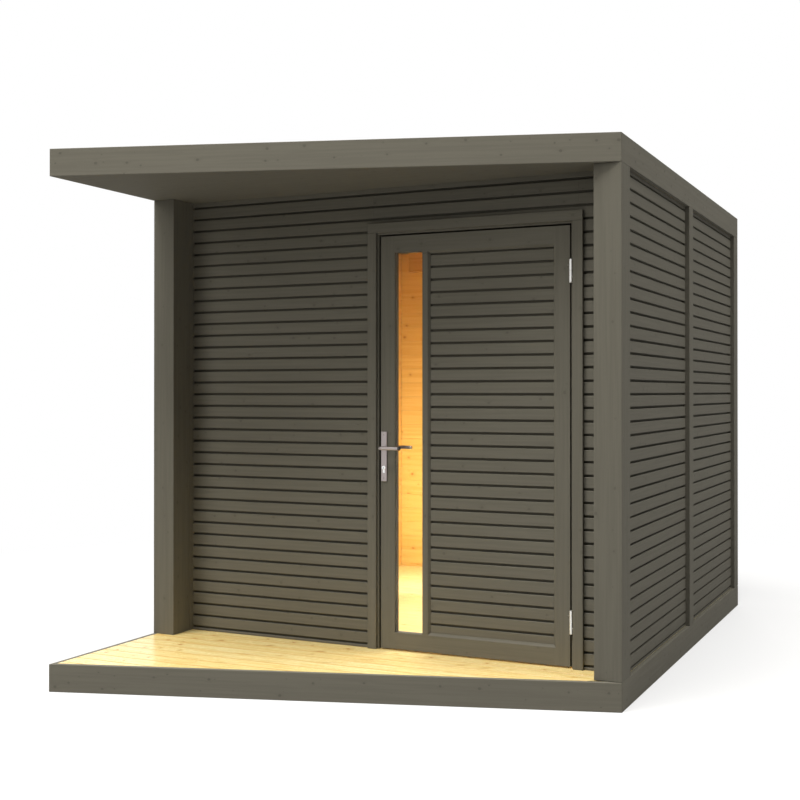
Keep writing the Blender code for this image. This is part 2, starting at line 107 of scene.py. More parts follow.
class Sheet:
    """A node tree with short ways to place nodes and to link them."""

    def __init__(self, tree):
        self.tree = tree

    def node(self, kind, values=None, **settings):
        """A node with its settings, and with each named input linked to a socket or set to a value."""
        made = self.tree.nodes.new(kind)
        for label, value in settings.items():
            setattr(made, label, value)
        for label, value in (values or {}).items():
            self.give(value, made.inputs[label])
        return made

    def give(self, value, socket):
        if isinstance(value, bpy.types.NodeSocket):
            self.tree.links.new(value, socket)
        else:
            socket.default_value = value

    def maths(self, operation, a, b=0.0, c=0.0):
        return self.node("ShaderNodeMath", {0: a, 1: b, 2: c}, operation=operation).outputs[0]

    def vector(self, operation, a, b):
        return self.node("ShaderNodeVectorMath", {0: a, 1: b}, operation=operation).outputs[0]

    def length(self, a):
        return self.node("ShaderNodeVectorMath", {0: a}, operation="LENGTH").outputs["Value"]

    def xyz(self, x=0.0, y=0.0, z=0.0):
        return self.node("ShaderNodeCombineXYZ", {"X": x, "Y": y, "Z": z}).outputs[0]

    def split(self, a):
        return self.node("ShaderNodeSeparateXYZ", {0: a}).outputs

    def place(self):
        """The place on the piece, which is also its place on the shed."""
        return self.node("ShaderNodeTexCoord").outputs["Object"]

    def noise(self, place, scale, detail, **more):
        values = {"Vector": place, "Scale": scale, "Detail": detail, **more}
        return self.node("ShaderNodeTexNoise", values).outputs["Fac"]

    def steps(self, value, low, high, to_low=0.0, to_high=1.0):
        """A value eased from one level to another between two limits."""
        return self.node("ShaderNodeMapRange", {0: value, 1: low, 2: high, 3: to_low, 4: to_high},
                         interpolation_type="SMOOTHSTEP").outputs[0]

    def colours(self, factor, a, b):
        """One colour over another, each a socket or three numbers."""
        a, b = [value if isinstance(value, bpy.types.NodeSocket) else (*value, 1.0) for value in (a, b)]
        return self.node("ShaderNodeMix", {0: factor, 6: a, 7: b}, data_type="RGBA").outputs[2]

    def position(self):
        """A point's place in a tree of geometry nodes."""
        return self.split(self.node("GeometryNodeInputPosition").outputs[0])

    def grained(self, source, place):
        """What a node makes, with its place along, across and into the wood stored at each point."""
        return self.node("GeometryNodeStoreNamedAttribute", {
            "Geometry": source.outputs[0], "Name": "grain",
            "Value": self.xyz(place["Z"], place["Y"], place["X"])},
            data_type="FLOAT_VECTOR", domain="POINT").outputs[0]

    def bump(self, strength, distance, height, shader):
        made = self.node("ShaderNodeBump", {"Strength": strength, "Distance": distance, "Height": height})
        self.give(made.outputs[0], shader.inputs["Normal"])

    def show(self, shader, output="Material Output"):
        """Gives the tree's output its shader."""
        self.give(shader, self.tree.nodes[output].inputs["Surface"])

    def shown_white(self, lit, white):
        """One shader where the camera, a reflection or glass looks, and the lit one elsewhere."""
        path = self.node("ShaderNodeLightPath").outputs
        seen = path["Is Camera Ray"]
        for ray in ("Is Glossy Ray", "Is Transmission Ray"):
            seen = self.maths("MAXIMUM", seen, path[ray])
        return self.node("ShaderNodeMixShader", {"Fac": seen, 1: lit, 2: white}).outputs[0]


def new_material(name, values):
    """A material with its sheet of nodes and its shader, whose named inputs have plain values."""
    made = bpy.data.materials.new(name)
    made.use_nodes = True
    shader = made.node_tree.nodes["Principled BSDF"]
    for label, value in values.items():
        shader.inputs[label].default_value = value
    return made, Sheet(made.node_tree), shader


def mesh_of(name, bm):
    """The mesh of a bmesh, which ends with it."""
    made = bpy.data.meshes.new(name)
    bm.to_mesh(made)
    bm.free()
    return made


world = bpy.data.worlds.new("studio")
bpy.context.scene.world = world
world.use_nodes = True
air = Sheet(world.node_tree)
ambient = world.node_tree.nodes["Background"]
ambient.inputs["Color"].default_value = (*LAMP_COLOUR, 1.0)
ambient.inputs["Strength"].default_value = AMBIENT
backdrop = air.node("ShaderNodeBackground", {"Color": (1.0, 1.0, 1.0, 1.0)})
air.show(air.shown_white(ambient.outputs[0], backdrop.outputs[0]), "World Output")

floor_finish, s, shader = new_material("studio_floor", {
    "Base Color": (FLOOR_TONE, FLOOR_TONE, FLOOR_TONE, 1.0), "Roughness": 0.9, "Specular IOR Level": 0.0})
lift = s.node("ShaderNodeEmission", {"Strength": FLOOR_LIFT})
lifted = s.node("ShaderNodeAddShader", {0: shader.outputs[0], 1: lift.outputs[0]})
white = s.node("ShaderNodeEmission")
far = s.steps(s.length(s.place()), WHITE_FROM, WHITE_AT)
whitened = s.node("ShaderNodeMixShader", {"Fac": far, 1: lifted.outputs[0], 2: white.outputs[0]})
s.show(s.shown_white(shader.outputs[0], whitened.outputs[0]))

bm = bmesh.new()
bmesh.ops.create_grid(bm, x_segments=1, y_segments=1, size=FLOOR_SIDE / 2)
bmesh.ops.translate(bm, verts=bm.verts, vec=(0.0, 0.0, -FLOOR_DROP))
studio_floor = placed("studio_floor", mesh_of("studio_floor", bm))
studio_floor.data.materials.append(floor_finish)


def soft_box(name, place, side, power, colour, aim=AIM):
    """A square lamp turned to what it aims at, which the camera doesn't see."""
    lamp = bpy.data.lights.new("soft_box_" + name, "AREA")
    lamp.shape = "SQUARE"
    lamp.size = side
    lamp.energy = power
    lamp.color = colour
    holder = placed(lamp.name, lamp)
    holder.location = place
    holder.rotation_euler = (Vector(aim) - Vector(place)).to_track_quat("-Z", "Y").to_euler()
    holder.visible_camera = False
    return holder


for name, (place, side, power, colour) in SOFT_BOXES.items():
    holder = soft_box(name, place, side, power, colour)
    holder.visible_glossy = holder.visible_transmission = name != "front_low"
wash = soft_box("room_wash", WASH_PLACE, WASH_SIDE, WASH_POWER, LAMP_COLOUR, WASH_AIM)
wash.visible_glossy = False
wash.data.spread = WASH_SPREAD
room_lamp = soft_box("room", ROOM_LAMP_PLACE, ROOM_LAMP_SIDE, ROOM_LAMP_POWER, LAMP_COLOUR,
                     (ROOM_LAMP_PLACE[0], ROOM_LAMP_PLACE[1], 0.0))
room_lamp.visible_glossy = False
room_lamp.data.spread = ROOM_LAMP_SPREAD


# Base boards
# Planed spruce boards on edge round the floor, mitred at the corners, with eased
# arrises. All outside wood has a matt olive-grey stain, rolled on, with the fibres and small
# knots showing through; it is paler on these boards and the fascia, painted light for the brighter light on
# them.
ARRIS = 0.0016
ARRIS_STEPS = 2
PAINT = (0.148, 0.139, 0.112)
# A paler copy of the stain for the base boards and fascia: painted light for the brighter light on these
# faces
EDGE_PAINTED_LIGHT = 1.11         # the smooth boards at base and roof, beside the grooved walls
PAINT_ROUGHNESS = 0.74
LOG_STRETCH = 23.7        # far enough along the log that no two boards look alike


def sockets(tree, direction, named):
    """Named sockets of a node group, each with its kind and its value."""
    for label, (kind, value) in named.items():
        made = tree.interface.new_socket(label, in_out=direction, socket_type="NodeSocket" + kind)
        if value is not None:
            made.default_value = value


def wood_figure():
    """What the eye sees in spruce: fine fibres, growth bands that bend round knots, and the knots."""
    tree = bpy.data.node_groups.new("wood_figure", "ShaderNodeTree")
    sockets(tree, "INPUT", {"Place": ("Vector", None), "Board": ("Float", 0.5),
                            "Band Width": ("Float", 0.009), "Knot Spacing": ("Float", 0.10),
                            "Knot Size": ("Float", 0.0045)})
    sockets(tree, "OUTPUT", {"Fibres": ("Float", None), "Bands": ("Float", None),
                             "Knots": ("Float", None), "Rings": ("Float", None)})
    s = Sheet(tree)
    given = s.node("NodeGroupInput").outputs
    # Each board is cut from another stretch of the log
    shift = s.xyz(s.maths("MULTIPLY", given["Board"], LOG_STRETCH))
    place = s.vector("ADD", given["Place"], shift)

    # Knots, one to a cell, in the plane of the board's face
    spacing = given["Knot Spacing"]
    cells = s.vector("DIVIDE", place, s.xyz(s.maths("MULTIPLY", spacing, 1.5), spacing, 1.0))
    knot = s.node("ShaderNodeTexVoronoi", {"Vector": cells, "Scale": 1.0, "Randomness": 0.9},
                  voronoi_dimensions="2D").outputs
    off = s.vector("MULTIPLY", s.vector("SUBTRACT", cells, knot["Position"]), (1.25, 1.0, 0.0))
    away = s.maths("MULTIPLY", s.length(off), spacing)
    lot = s.split(knot["Color"])
    ragged = s.maths("MULTIPLY_ADD", s.noise(place, 260.0, 1.0), 0.7, -0.15)
    radius = s.maths("MULTIPLY", given["Knot Size"], s.maths("MULTIPLY_ADD", lot[0], 1.3, ragged))
    is_knot = s.maths("GREATER_THAN", lot[1], 0.42)
    radii_away = s.maths("DIVIDE", away, radius)
    knots = s.maths("MULTIPLY", s.maths("SUBTRACT", 1.0, s.steps(radii_away, 0.75, 1.25)), is_knot)
    rings = s.maths("MULTIPLY", is_knot, s.steps(radii_away, 0.8, 4.5, 1.0, 0.0))

    # Growth bands along the board, pushed aside by the knots
    bent = s.vector("ADD", place, s.xyz(y=s.maths("MULTIPLY", rings, 0.007)))
    bands = s.noise(s.vector("DIVIDE", bent, s.xyz(0.42, given["Band Width"], 0.03)), 1.0, 3.0,
                    Roughness=0.55, Distortion=0.25)
    fibres = s.noise(s.vector("MULTIPLY", bent, (26.0, 1150.0, 700.0)), 1.0, 2.0, Roughness=0.6)
    out = s.node("NodeGroupOutput", {
        "Fibres": fibres, "Bands": s.steps(bands, 0.36, 0.66), "Knots": knots, "Rings": rings})
    out.is_active_output = True
    return tree


FIGURE = wood_figure()


def shaded(colour, share):
    """A colour brought down, or up, to a share of its strength."""
    return tuple(c * share for c in colour)


def figured(s, bands, spacing, size):
    """The wood's figure at a piece's own place along, across and into its boards."""
    place = s.node("ShaderNodeAttribute", attribute_name="grain").outputs["Vector"]
    board = s.node("ShaderNodeAttribute", attribute_name="tone").outputs["Fac"]
    made = s.node("ShaderNodeGroup", node_tree=FIGURE)
    for label, value in {"Place": place, "Board": board, "Band Width": bands, "Knot Spacing": spacing,
                         "Knot Size": size}.items():
        s.give(value, made.inputs[label])
    return made.outputs, board


def paint_finish(name, colour, roughness, knots=0.28, spacing=0.078, size=0.0045):
    """Grey stain on planed spruce."""
    made, s, shader = new_material(name, {"Specular IOR Level": 0.08})
    figure, board = figured(s, 0.012, spacing, size)
    tint = s.colours(figure["Bands"], shaded(colour, 1.05), shaded(colour, 0.95))
    for mark, strength, share in ((figure["Fibres"], 0.32, 0.76), (board, 0.08, 0.80),
                                  (figure["Rings"], 0.10, 0.70), (figure["Knots"], knots, 0.50)):
        tint = s.colours(s.maths("MULTIPLY", mark, strength), tint, shaded(colour, share))
    s.give(tint, shader.inputs["Base Color"])
    rough = s.steps(figure["Fibres"], 0.2, 0.8, roughness - 0.05, roughness + 0.09)
    s.give(rough, shader.inputs["Roughness"])
    raised = s.maths("MULTIPLY_ADD", figure["Knots"], 0.6, figure["Fibres"])
    s.bump(0.30, 0.0005, s.maths("MULTIPLY_ADD", figure["Bands"], -0.35, raised), shader)
    return made


paint = paint_finish("grey_stain", PAINT, PAINT_ROUGHNESS)
edge_paint_with_painted_light = paint_finish("grey_edge_stain_painted_light", shaded(PAINT, EDGE_PAINTED_LIGHT), PAINT_ROUGHNESS,
                          knots=0.50, spacing=0.052, size=0.0042)


def finished(name, mesh, body, finish=None, node=None):
    """A finished piece: linked, with its material, riding on its body and standing for its CAD node."""
    if finish:
        mesh.materials.clear()
        mesh.materials.append(finish)
    piece = placed(name, mesh)
    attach(piece, body)
    if node:
        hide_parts(node)
    return piece


def lay_grain(mesh, along, tone):
    """Stores each corner's place along, across and into the wood, as its face shows it, and the tone."""
    along = Vector(along).normalized()
    up = Vector((0, 0, 1)) if abs(along.z) < 0.9 else Vector((1, 0, 0))
    into = along.cross(up).normalized()
    across = into.cross(along)
    grain = mesh.attributes.new("grain", "FLOAT_VECTOR", "CORNER")
    for face in mesh.polygons:
        wide, deep = across, into
        if abs(face.normal.dot(across)) > abs(face.normal.dot(into)):
            wide, deep = into, across
        for corner in face.loop_indices:
            place = mesh.vertices[mesh.loops[corner].vertex_index].co
            grain.data[corner].vector = (place.dot(along), place.dot(wide), place.dot(deep))
    board = mesh.attributes.new("tone", "FLOAT", "POINT")
    board.data.foreach_set("value", [tone] * len(mesh.vertices))


def eased_copy(node, arris=ARRIS, steps=ARRIS_STEPS, within=()):
    """A CAD node's shape, or what lies within limits along x and z, with its arrises eased."""
    bm = bmesh.new()
    bm.from_mesh(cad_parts[node].data)
    bmesh.ops.remove_doubles(bm, verts=bm.verts, dist=0.00005)
    for normal, (low, high) in zip((Vector((1, 0, 0)), Vector((0, 0, 1))), within):
        for outward, place in ((-normal, low), (normal, high)):
            bmesh.ops.bisect_plane(bm, geom=bm.verts[:] + bm.edges[:] + bm.faces[:],
                                   plane_co=normal * place, plane_no=outward, clear_outer=True)
            bmesh.ops.holes_fill(bm, edges=[e for e in bm.edges if e.is_boundary], sides=0)
    bmesh.ops.dissolve_limit(bm, angle_limit=math.radians(1.0), verts=bm.verts, edges=bm.edges)
    sharp = [e for e in bm.edges if len(e.link_faces) == 2 and e.calc_face_angle(0.0) > math.radians(30)]
    if arris:
        bmesh.ops.bevel(bm, geom=sharp, offset=arris, offset_type="OFFSET", segments=steps, profile=0.5,
                        affect="EDGES", clamp_overlap=True)
    return mesh_of(node + "_board", bm)


def board_piece(node, finish, along, body=SHED, tone=0.5, arris=ARRIS):
    """A board or post that stands for one CAD node."""
    mesh = eased_copy(node, arris)
    lay_grain(mesh, along, tone)
    return finished(node + "_wood", mesh, body, finish, node)


def box_mesh(name, middle, size, arris=0.0):
    """A box round a middle point, with its arrises eased."""
    bm = bmesh.new()
    bmesh.ops.create_cube(bm, size=1.0, matrix=Matrix.Translation(middle) @ Matrix.Diagonal((*size, 1.0)))
    if arris:
        bmesh.ops.bevel(bm, geom=bm.edges[:], offset=arris, segments=ARRIS_STEPS, profile=0.5, affect="EDGES")
    return mesh_of(name, bm)


def stick(name, low, high, finish, along, body=SHED, tone=0.5, arris=0.0):
    """A squared stick between two corners, beside the pieces that stand for CAD nodes."""
    low, high = Vector(low), Vector(high)
    mesh = box_mesh(name, (low + high) / 2, high - low, arris)
    lay_grain(mesh, along, tone)
    return finished(name, mesh, body, finish)


base_low, base_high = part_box("base_board_front")
# The front board's slant, from its outer corners, as its box includes the mitre's tip
corners = [v.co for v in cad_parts["base_board_front"].data.vertices]
right_corner = min(co.y for co in corners if co.x > base_high.x - 0.0001)
SKEW = (right_corner - base_low.y) / (base_high.x - base_low.x)
ALONG_FRONT = (1.0, SKEW, 0.0)
ALONG_X, ALONG_Y, ALONG_Z = (1.0, 0.0, 0.0), (0.0, 1.0, 0.0), (0.0, 0.0, 1.0)
RING = {"front": ALONG_FRONT, "right": ALONG_Y, "rear": ALONG_X, "left": ALONG_Y}
for i, (side, along) in enumerate(RING.items()):
    board_piece("base_board_" + side, edge_paint_with_painted_light, along, tone=0.18 + 0.21 * i)


# Floor frame
# Sawn spruce joists nailed inside a rim, bare and treated pale brown. It rests on
# the ground inside the base boards and carries the terrace and the room's floor.
def bare_finish(name, pale, deep, knot, roughness, bands=0.010, spacing=0.115, size=0.0062, bump=0.35,
                gloss=0.25, joint=0.0):
    """Bare spruce, from pale early wood to darker bands, with brown knots and darker joints."""
    made, s, shader = new_material(name, {"Specular IOR Level": gloss})
    figure, board = figured(s, bands, spacing, size)
    brown = tuple((a + b) / 2 for a, b in zip(deep, knot))
    tint = s.colours(figure["Bands"], pale, deep)
    for mark, strength, colour in ((figure["Fibres"], 0.22, shaded(deep, 0.62)), (board, 0.45, deep),
                                   (figure["Rings"], 0.45, brown), (figure["Knots"], 0.85, knot)):
        tint = s.colours(s.maths("MULTIPLY", mark, strength), tint, colour)
    if joint:
        course = s.node("ShaderNodeAttribute", attribute_name="course").outputs["Fac"]
        tint = s.colours(s.steps(s.maths("PINGPONG", course, 0.5), 0.02, joint, 0.75, 0.0), tint, brown)
    s.give(tint, shader.inputs["Base Color"])
    rough = s.steps(figure["Fibres"], 0.2, 0.8, roughness - 0.05, roughness + 0.1)
    s.give(rough, shader.inputs["Roughness"])
    s.bump(bump, 0.0005, s.maths("MULTIPLY_ADD", figure["Bands"], -0.4, figure["Fibres"]), shader)
    return made


treated = bare_finish("treated_joists", (0.42, 0.33, 0.19), (0.30, 0.22, 0.12), (0.13, 0.07, 0.03), 0.75)
board_piece("floor_frame", treated, ALONG_Y, arris=0.0)


# Laid boards
# Everything that is laid from boards side by side: cladding, lining, deck, floors
# and slats. Tongued boards, planed, with eased arrises, cut off at both edges.
def laid_boards():
    """A stack of boards: z runs along them, y from one to the next, x into their thickness."""
    tree = bpy.data.node_groups.new("laid_boards", "GeometryNodeTree")
    sockets(tree, "INPUT", {
        "Length": ("Float", 1.0), "Height": ("Float", 1.0), "Pitch": ("Float", 0.06), "Gap": ("Float", 0.009),
        "Lowest": ("Float", 0.02), "Thickness": ("Float", 0.01), "Arris": ("Float", 0.0008),
        "Seed": ("Int", 0), "Finish": ("Material", None)})
    sockets(tree, "OUTPUT", {"Boards": ("Geometry", None)})
    s = Sheet(tree)
    given = s.node("NodeGroupInput").outputs

    half_gap = s.maths("MULTIPLY", given["Gap"], 0.5)
    free = s.maths("SUBTRACT", s.maths("SUBTRACT", given["Height"], half_gap), given["Lowest"])
    count = s.maths("ADD", s.maths("FLOOR", s.maths("DIVIDE", free, given["Pitch"])), 2.0)
    start = s.maths("MULTIPLY_ADD", given["Pitch"], -0.5, given["Lowest"])
    line = s.node("GeometryNodeMeshLine", {
        "Count": count, "Start Location": s.xyz(y=start), "Offset": s.xyz(y=given["Pitch"])}, mode="OFFSET")

    section = s.node("GeometryNodeCurvePrimitiveQuadrilateral", {
        "Width": given["Thickness"], "Height": s.maths("SUBTRACT", given["Pitch"], given["Gap"])})
    eased = s.node("GeometryNodeFilletCurve", {"Curve": section.outputs[0], "Radius": given["Arris"],
                                               "Count": 1}, mode="POLY")
    foot = s.node("GeometryNodeFillCurve", {"Curve": eased.outputs[0]}, mode="NGONS")
    length = s.node("GeometryNodeExtrudeMesh", {"Mesh": foot.outputs[0], "Offset Scale": given["Length"],
                                                "Individual": False}, mode="FACES")
    under = s.node("GeometryNodeFlipFaces", {"Mesh": foot.outputs[0]})
    both = s.node("GeometryNodeJoinGeometry")
    s.give(length.outputs["Mesh"], both.inputs[0])
    s.give(under.outputs[0], both.inputs[0])
    closed = s.node("GeometryNodeMergeByDistance", {"Geometry": both.outputs[0], "Distance": 0.00001})
    board = s.node("GeometryNodeTransform", {
        "Geometry": closed.outputs[0], "Translation": s.xyz(s.maths("MULTIPLY", given["Thickness"], 0.5))})

    stack = s.node("GeometryNodeInstanceOnPoints", {"Points": line.outputs[0], "Instance": board.outputs[0]})
    lot = s.node("FunctionNodeRandomValue", {"Seed": given["Seed"]}, data_type="FLOAT")
    toned = s.node("GeometryNodeStoreNamedAttribute", {
        "Geometry": stack.outputs[0], "Name": "tone", "Value": lot.outputs[1]},
        data_type="FLOAT", domain="INSTANCE")
    real = s.node("GeometryNodeRealizeInstances", {"Geometry": toned.outputs[0]})

    # The first and the last board are cut off at the edges of the panel
    place = s.position()
    within = s.maths("MAXIMUM", s.maths("MINIMUM", place["Y"], given["Height"]), 0.0)
    cut = s.node("GeometryNodeSetPosition", {
        "Geometry": real.outputs[0], "Position": s.xyz(place["X"], within, place["Z"])})
    course = s.node("GeometryNodeStoreNamedAttribute", {
        "Geometry": s.grained(cut, place), "Name": "course",
        "Value": s.maths("DIVIDE", s.maths("SUBTRACT", place["Y"], given["Lowest"]), given["Pitch"])},
        data_type="FLOAT", domain="POINT")
    sound = s.node("GeometryNodeMergeByDistance", {"Geometry": course.outputs[0], "Distance": 0.00001})
    done = s.node("GeometryNodeSetMaterial", {"Geometry": sound.outputs[0], "Material": given["Finish"]})
    s.node("NodeGroupOutput", {"Boards": done.outputs[0]})
    return tree


BOARDS = laid_boards()


def skewed_boards():
    """Laid boards cut off at the slanting front edge, which starts at the first board's left end."""
    tree = bpy.data.node_groups.new("skewed_boards", "GeometryNodeTree")
    named = {label: ("Float", 0.1) for label in ("Length", "Height", "Pitch", "Gap", "Lowest", "Thickness",
                                                 "Arris")}
    named["Seed"] = ("Int", 0)
    named["Finish"] = ("Material", None)
    sockets(tree, "INPUT", {**named, "Skew": ("Float", 0.3)})
    sockets(tree, "OUTPUT", {"Boards": ("Geometry", None)})
    s = Sheet(tree)
    given = s.node("NodeGroupInput").outputs
    boards = s.node("GeometryNodeGroup", node_tree=BOARDS)
    for label in named:
        s.give(given[label], boards.inputs[label])
    place = s.position()
    reach = s.maths("MINIMUM", place["Z"], s.maths("DIVIDE", place["Y"], given["Skew"]))
    cut = s.node("GeometryNodeSetPosition", {
        "Geometry": boards.outputs[0], "Position": s.xyz(place["X"], place["Y"], reach)})
    sound = s.node("GeometryNodeMergeByDistance", {"Geometry": cut.outputs[0], "Distance": 0.00001})
    real = s.node("GeometryNodeRealizeInstances", {"Geometry": sound.outputs[0]})
    done = s.node("GeometryNodeSetMaterial", {"Geometry": real.outputs[0], "Material": given["Finish"]})
    s.node("NodeGroupOutput", {"Boards": done.outputs[0]})
    return tree


def grown(name, tree, values, turn):
    """The mesh that a tree of nodes makes from its inputs, put where it belongs."""
    holder = placed(name, bpy.data.meshes.new(name))
    nodes = holder.modifiers.new(name, "NODES")
    nodes.node_group = tree
    for item in tree.interface.items_tree:
        if item.in_out == "INPUT" and item.name in values:
            nodes[item.identifier] = values[item.name]
    bpy.context.view_layer.update()
    seen = holder.evaluated_get(bpy.context.evaluated_depsgraph_get())
    mesh = bpy.data.meshes.new_from_object(seen)
    mesh.name = name
    mesh.transform(turn)
    bpy.data.objects.remove(holder)
    return mesh


def turned(corner, into, up, along):
    """Puts a stack of boards at a corner, with the directions of its x, y and z."""
    made = Matrix((into, up, along)).transposed().to_4x4()
    made.translation = corner
    return made


def floor_boards(name, node, tree, finish, pitch, joint, arris, lowest, seed, **more):
    """Level boards in place of a CAD node, laid from its front edge back, with their tops at its top."""
    low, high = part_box(node)
    mesh = grown(name, tree, {
        "Length": high.x - low.x, "Height": high.y - low.y, "Pitch": pitch, "Gap": joint, "Lowest": lowest,
        "Thickness": high.z - low.z, "Arris": arris, "Seed": seed, "Finish": finish, **more},
        turned((low.x, low.y, high.z), DOWN, BACK, RIGHT))
    finished(name, mesh, SHED, node=node)


RIGHT, LEFT = Vector((1, 0, 0)), Vector((-1, 0, 0))
BACK, FRONT = Vector((0, 1, 0)), Vector((0, -1, 0))
UP, DOWN = Vector((0, 0, 1)), Vector((0, 0, -1))
SKEWED = skewed_boards()


# Terrace and room floor
# Planed spruce boards 94 mm from joint to joint, laid along the front wall from
# the wall outwards, and cut off along the slanting front board.
FLOOR_PITCH = 0.094
FLOOR_JOINT = 0.0040
FLOOR_ARRIS = 0.0007
deck_wood = bare_finish("deck_spruce", (0.97, 0.85, 0.45), (0.85, 0.61, 0.21), (0.50, 0.22, 0.03), 0.22,
                        bands=0.012, spacing=0.095, size=0.0072, bump=0.16, gloss=0.5, joint=0.11)
wall_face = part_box("front_wall_left")[0].y
floor_boards("terrace_boards", "terrace_deck", SKEWED, deck_wood, FLOOR_PITCH, FLOOR_JOINT, FLOOR_ARRIS,
             (wall_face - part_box("terrace_deck")[0].y) % FLOOR_PITCH, 3, Skew=SKEW)

room_floor_wood = bare_finish("room_floor_spruce", (0.97, 0.87, 0.47), (0.92, 0.74, 0.31), (0.60, 0.34, 0.08),
                              0.26, bands=0.020, spacing=0.140, size=0.0060, bump=0.05, gloss=0.4, joint=0.04)
floor_boards("room_floor_boards", "room_floor", BOARDS, room_floor_wood, FLOOR_PITCH, FLOOR_JOINT * 0.3,
             FLOOR_ARRIS * 0.5, (wall_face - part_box("room_floor")[0].y) % FLOOR_PITCH, 8)


# Posts and mullions
# Glued spruce posts, stained on all faces. The mullions between the wall panels
# are stained outside and left bare on the side that shows in the room.
lining_wood = bare_finish("lining_spruce", (0.86, 0.585, 0.175), (0.79, 0.485, 0.12), (0.50, 0.21, 0.04),
                          0.62, bands=0.016, spacing=0.085, size=0.0052, bump=0.18)
for i, node in enumerate(("front_post_left", "front_post_right", "rear_post_left", "rear_post_right")):
    board_piece(node, paint, ALONG_Z, tone=0.1 + 0.22 * i, arris=0.0022)
for i, (node, inward) in enumerate((("mullion_left", (1, 0, 0)), ("mullion_right", (-1, 0, 0)),
                                    ("mullion_rear", (0, -1, 0)))):
    mullion = board_piece(node, paint, ALONG_Z, tone=0.2 + 0.3 * i)
    mullion.data.materials.append(lining_wood)
    for face in mullion.data.polygons:
        face.material_index = int(face.normal.dot(inward) > 0.5)


# Walls
# Panels of studs between the posts. Outside they have stained boards 59 mm from
# groove to groove, inside tongued boards of bare spruce, nailed to the studs.
CLAD_PITCH = 0.05872
SIDE_PITCH = 0.0590
CLAD_GROOVE = 0.0108
CLAD_STEP = 0.0120        # depth of the groove
CLAD_ARRIS = 0.0018
LOWEST_GROOVE = 0.1385    # its middle above the ground
LOWEST_SIDE_GROOVE = 0.1335
LINING_PITCH = 0.096
LINING_JOINT = 0.0006
LINING = 0.0125
LINING_ARRIS = 0.0014
# The panel core shows only in the grooves; its colour is a darker copy of the stain, painted shade for the
# dark grooves
groove_painted_shade = paint_finish("groove_painted_shade", (0.085, 0.079, 0.063), 0.8)


def wall_panel():
    """Cladding boards, the panel's core and the lining boards, from outside (x = 0) to inside."""
    tree = bpy.data.node_groups.new("wall_panel", "GeometryNodeTree")
    outside = {"Pitch": "Clad Pitch", "Gap": "Groove", "Lowest": "Lowest Groove", "Thickness": "Step",
               "Arris": "Clad Arris", "Seed": "Seed", "Finish": "Outside Finish"}
    inside = {"Pitch": "Lining Pitch", "Gap": "Joint", "Lowest": "Lowest Joint", "Thickness": "Lining",
              "Arris": "Lining Arris", "Seed": "Seed", "Finish": "Inside Finish"}
    named = {label: ("Float", 0.1) for label in ("Length", "Height", "Depth", *outside.values(),
                                                 *inside.values())}
    named["Seed"] = ("Int", 0)
    named["Outside Finish"] = named["Inside Finish"] = named["Groove Painted Shade"] = ("Material", None)
    named["Lining Start"] = named["Lining End"] = ("Float", 0.0)
    sockets(tree, "INPUT", named)
    sockets(tree, "OUTPUT", {"Panel": ("Geometry", None)})
    s = Sheet(tree)
    given = s.node("NodeGroupInput").outputs
    layers = s.node("GeometryNodeJoinGeometry")
    unlined = s.maths("ADD", given["Lining Start"], given["Lining End"])
    lined = s.maths("SUBTRACT", given["Length"], unlined)
    lining_face = s.maths("SUBTRACT", given["Depth"], given["Lining"])
    for use, length, x, z in ((outside, given["Length"], 0.0, 0.0),
                              (inside, lined, lining_face, given["Lining Start"])):
        boards = s.node("GeometryNodeGroup", {"Length": length, "Height": given["Height"]}, node_tree=BOARDS)
        for label, outer in use.items():
            s.give(given[outer], boards.inputs[label])
        moved = s.node("GeometryNodeTransform", {"Geometry": boards.outputs[0],
                                                 "Translation": s.xyz(x, 0.0, z)})
        s.give(moved.outputs[0], layers.inputs[0])
    thick = s.maths("SUBTRACT", lining_face, given["Step"])
    core = s.node("GeometryNodeMeshCube", {"Size": s.xyz(thick, given["Height"], given["Length"])})
    middle = s.xyz(s.maths("MULTIPLY_ADD", thick, 0.5, given["Step"]),
                   s.maths("MULTIPLY", given["Height"], 0.5), s.maths("MULTIPLY", given["Length"], 0.5))
    moved = s.node("GeometryNodeTransform", {"Geometry": core.outputs[0], "Translation": middle})
    # The core takes the darker groove colour, painted shade in the grooves
    painted = s.node("GeometryNodeSetMaterial", {
        "Geometry": s.grained(moved, s.position()), "Material": given["Groove Painted Shade"]})
    s.give(painted.outputs[0], layers.inputs[0])
    real = s.node("GeometryNodeRealizeInstances", {"Geometry": layers.outputs[0]})
    s.node("NodeGroupOutput", {"Panel": real.outputs[0]})
    return tree


WALL_PANEL = wall_panel()


def wall(node, into, along, seed, body=SHED, inside=lining_wood, step=CLAD_STEP, lining=LINING,
         lining_pitch=LINING_PITCH, unlined=(0.0, 0.0), pitch=CLAD_PITCH, lowest=LOWEST_GROOVE):
    """One wall panel in the place of its CAD node, unlined for a length at either end."""
    low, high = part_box(node)
    size = high - low
    corner = Vector([low[i] if into[i] + along[i] > 0 else high[i] for i in range(3)])
    corner.z = low.z
    mesh = grown(node + "_boards", WALL_PANEL, {
        "Length": abs(size.dot(along)), "Height": size.z, "Depth": abs(size.dot(into)),
        "Clad Pitch": pitch, "Groove": CLAD_GROOVE, "Lowest Groove": (lowest - low.z) % pitch,
        "Step": step, "Clad Arris": CLAD_ARRIS, "Lining Pitch": lining_pitch, "Joint": LINING_JOINT,
        "Lowest Joint": (lowest - low.z) % lining_pitch, "Lining": lining, "Lining Arris": LINING_ARRIS,
        "Seed": seed, "Outside Finish": paint, "Inside Finish": inside, "Groove Painted Shade": groove_painted_shade,
        "Lining Start": unlined[0], "Lining End": unlined[1]},
        turned(corner, into, UP, along))
    return finished(node + "_boards", mesh, body, node=node)


